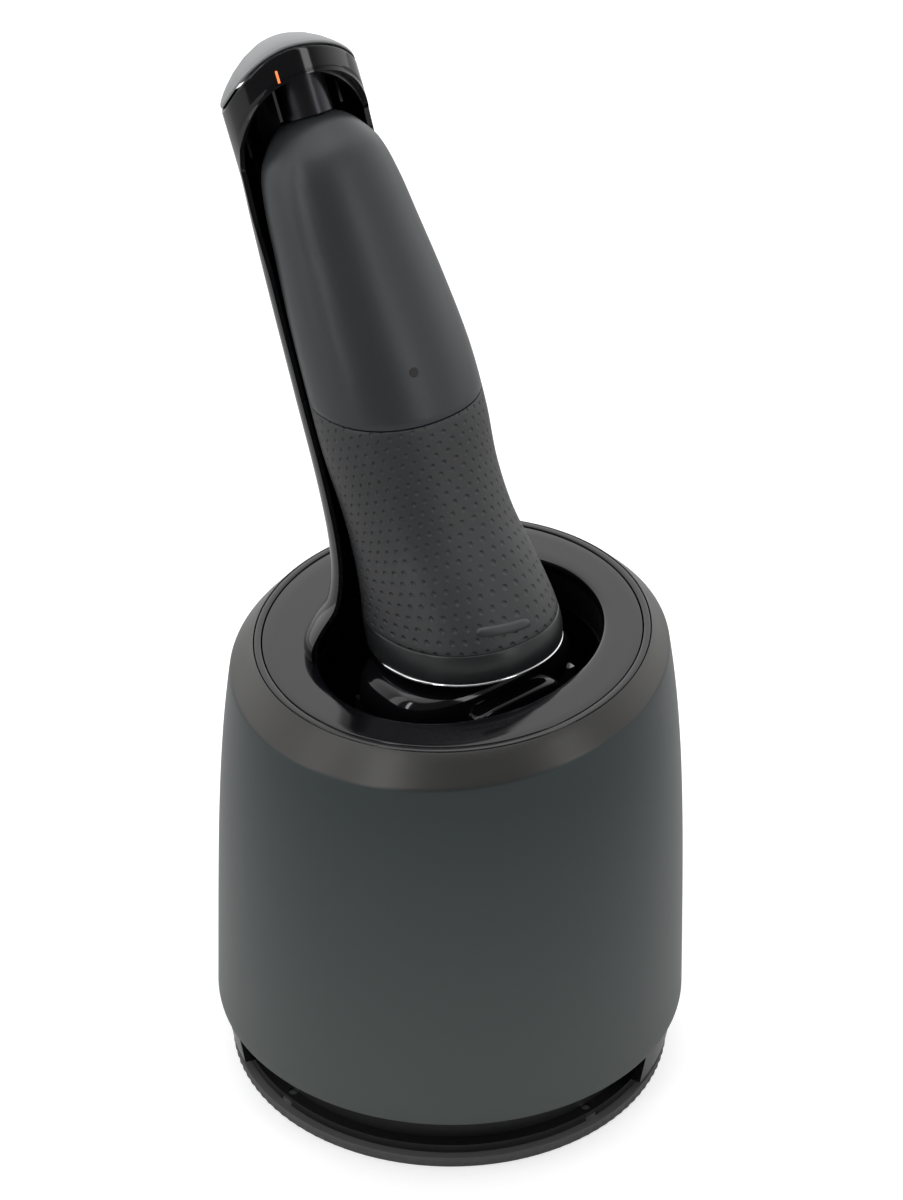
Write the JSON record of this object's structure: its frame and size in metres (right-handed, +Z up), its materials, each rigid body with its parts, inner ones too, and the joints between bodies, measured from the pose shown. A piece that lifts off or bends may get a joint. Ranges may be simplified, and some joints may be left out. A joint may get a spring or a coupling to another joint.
{
  "type": "shaver cleaning station",
  "caption": "Round cleaning and charging dock with a leaning arm that holds a foil shaver head down in a wash dish, over a lift-up drum and a fluid cartridge.",
  "frame": {"origin": "middle of the round base, on the table", "axes": "+Z up along the drum's axis, +Y towards the arm that stands at the back of the opening, -Y the side that the docked shaver's back faces, +X across the dock"},
  "size_m": [0.1248, 0.1418, 0.2723],
  "materials": {
    "drum_plastic": "satin",
    "gloss_black": "gloss",
    "ring_black": "satin",
    "key_grey": "satin",
    "base_black": "satin",
    "skirt_black": "gloss",
    "foot_rubber": "matte",
    "dish_black": "satin",
    "seal_rubber": "matte",
    "inner_plastic": "matte",
    "pump_plastic": "matte",
    "white_plastic": "matte",
    "clear_tube": "satin",
    "steel": "brushed",
    "copper_cable": "matte",
    "board_green": "satin",
    "plug_dark": "satin",
    "light_orange": "gloss",
    "shell_charcoal": "matte",
    "grip_rubber": "matte",
    "front_black": "gloss",
    "collar_black": "satin",
    "line_chrome": "polished",
    "socket_black": "matte",
    "cell_blue": "satin",
    "head_black": "gloss",
    "foil_steel": "satin",
    "button_grey": "satin",
    "cartridge_blue": "satin",
    "lid_blue": "satin"
  },
  "bodies": {
    "base": {"foot_ring": "foot_rubber", "base_tray": "base_black", "cradle_rim": "base_black", "mouth_wall": "base_black", "release_stop": "base_black", "base_skirt": "skirt_black", "cartridge_tank": "cartridge_blue", "cartridge_lid": "lid_blue", "guide_posts": "steel", "lift_springs": "steel", "power_inlet": "socket_black", "base_screws": "steel"},
    "release_button": {"release_button": "button_grey"},
    "drum": {"drum_shell": "drum_plastic", "border_ring": "ring_black", "deck": "gloss_black", "dish_seal": "seal_rubber", "wash_dish": "dish_black", "dish_pads": "dish_black", "carrier_frame": "inner_plastic", "pump_housing": "pump_plastic", "pump_motor": "steel", "suction_pipe": "clear_tube", "drain_pipe": "clear_tube", "main_board": "board_green", "arm_shell": "gloss_black", "arm_liner": "dish_black", "arm_harness": "copper_cable", "hood_band": "gloss_black", "hood_core": "dish_black", "contact_plug": "plug_dark", "contact_tabs": "steel", "indicator_light": "light_orange", "key_switch": "board_green"},
    "pump_rotor": {"pump_impeller": "white_plastic"},
    "top_key": {"top_key": "key_grey"},
    "shaver": {"handle_back": "shell_charcoal", "handle_grip": "grip_rubber", "handle_front": "front_black", "neck_collar": "collar_black", "trim_line": "line_chrome", "end_socket": "socket_black", "battery": "cell_blue", "drive_motor": "steel", "shaver_board": "board_green", "chassis": "inner_plastic"},
    "power_button": {"power_button": "button_grey"},
    "shaver_head": {"head_frame": "head_black", "foil_cassette": "foil_steel"},
    "head_lock": {"head_lock": "head_black"}
  },
  "joints": [
    {"name": "release_push", "type": "slide", "parent": "base", "child": "release_button", "axis": [-0.6947, -0.7193, 0], "range_m": [0, 0.0022], "stiffness_N_per_m": 400},
    {"name": "drum_lift", "type": "slide", "parent": "base", "child": "drum", "axis": [0, 0, 1], "range_m": [0, 0.024], "deforming": ["lift_springs"]},
    {"name": "pump_spin", "type": "hinge", "parent": "drum", "child": "pump_rotor", "pos_m": [0, 0.045, 0.085], "axis": [0, 0, 1], "continuous": true},
    {"name": "top_key_push", "type": "slide", "parent": "drum", "child": "top_key", "axis": [0, -0.4352, -0.9003], "range_m": [0, 0.0004], "stiffness_N_per_m": 600},
    {"name": "shaver_tip", "type": "hinge", "parent": "drum", "child": "shaver", "pos_m": [0, -0.004, 0.11], "axis": [1, 0, 0], "range_deg": [0, 12]},
    {"name": "power_push", "type": "slide", "parent": "shaver", "child": "power_button", "axis": [0, -0.9003, 0.4352], "range_m": [0, 0.0008], "stiffness_N_per_m": 400},
    {"name": "head_swivel", "type": "hinge", "parent": "shaver", "child": "shaver_head", "pos_m": [0, -0.0055, 0.1183], "axis": [1, 0, 0], "range_deg": [-3, 3]},
    {"name": "lock_slide", "type": "slide", "parent": "shaver_head", "child": "head_lock", "axis": [0, 0, 1], "range_m": [0, 0.0024]}
  ]
}
